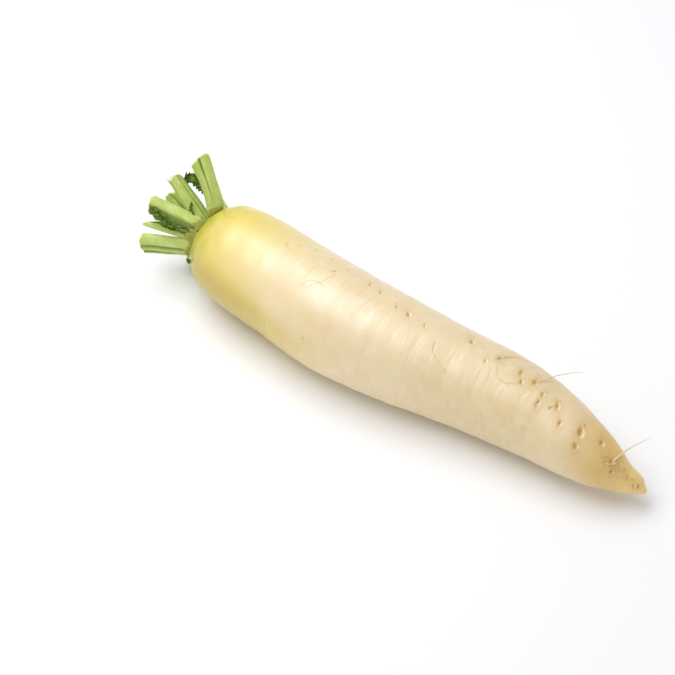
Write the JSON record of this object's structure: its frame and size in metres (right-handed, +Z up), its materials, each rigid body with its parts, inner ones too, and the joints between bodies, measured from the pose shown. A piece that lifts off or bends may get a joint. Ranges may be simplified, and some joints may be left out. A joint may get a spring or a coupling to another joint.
{
  "type": "daikon radish",
  "caption": "Long pale radish root lying on its side, slightly bent and tapering to a blunt tip, with short trimmed leaf stalks at the crown.",
  "frame": {"origin": "on the narrow flat that the belly rests on, under the middle of the root", "axes": "+Z up; +X along the root from its crown, where the leaf stalks are, to its tip"},
  "size_m": [0.3899, 0.1016, 0.0889],
  "materials": {
    "root_skin": "smooth moist ivory skin with a soft satin sheen, pale yellow-green at the crown, tan towards the tip",
    "stalk_green": "fresh pale green stalk, finely ribbed along its length, satin",
    "leaf_base_olive": "olive leaf base with a brown torn rim, dull",
    "leaf_dark_green": "crinkled dark green leaf blade, dull",
    "rootlet_tan": "fine dry tan root hair, dull"
  },
  "bodies": {
    "root": {"taproot": "root_skin", "leaf_stalk_1": "stalk_green", "leaf_stalk_2": "stalk_green", "leaf_stalk_3": "stalk_green", "leaf_stalk_4": "stalk_green", "leaf_stalk_5": "stalk_green", "leaf_stalk_6": "stalk_green", "leaf_stalk_7": "stalk_green", "leaf_stalk_8": "stalk_green", "leaf_stalk_9": "stalk_green", "leaf_stalk_10": "stalk_green", "inner_stalk_1": "stalk_green", "inner_stalk_2": "stalk_green", "inner_stalk_3": "stalk_green", "heart_stalk": "stalk_green", "leaf_base_1": "leaf_base_olive", "leaf_base_2": "leaf_base_olive", "leaf_base_3": "leaf_base_olive", "leaf_base_4": "leaf_base_olive", "leaf_base_5": "leaf_base_olive", "leaf_base_6": "leaf_base_olive", "leaf_scrap_1": "leaf_dark_green", "leaf_scrap_2": "leaf_dark_green", "leaf_scrap_3": "leaf_dark_green", "leaf_scrap_4": "leaf_dark_green", "leaf_crumb": "leaf_dark_green", "rootlet_1": "rootlet_tan", "rootlet_2": "rootlet_tan", "rootlet_3": "rootlet_tan", "rootlet_4": "rootlet_tan", "rootlet_5": "rootlet_tan", "rootlet_6": "rootlet_tan", "rootlet_7": "rootlet_tan", "rootlet_8": "rootlet_tan", "rootlet_9": "rootlet_tan", "rootlet_10": "rootlet_tan"}
  },
  "joints": []
}
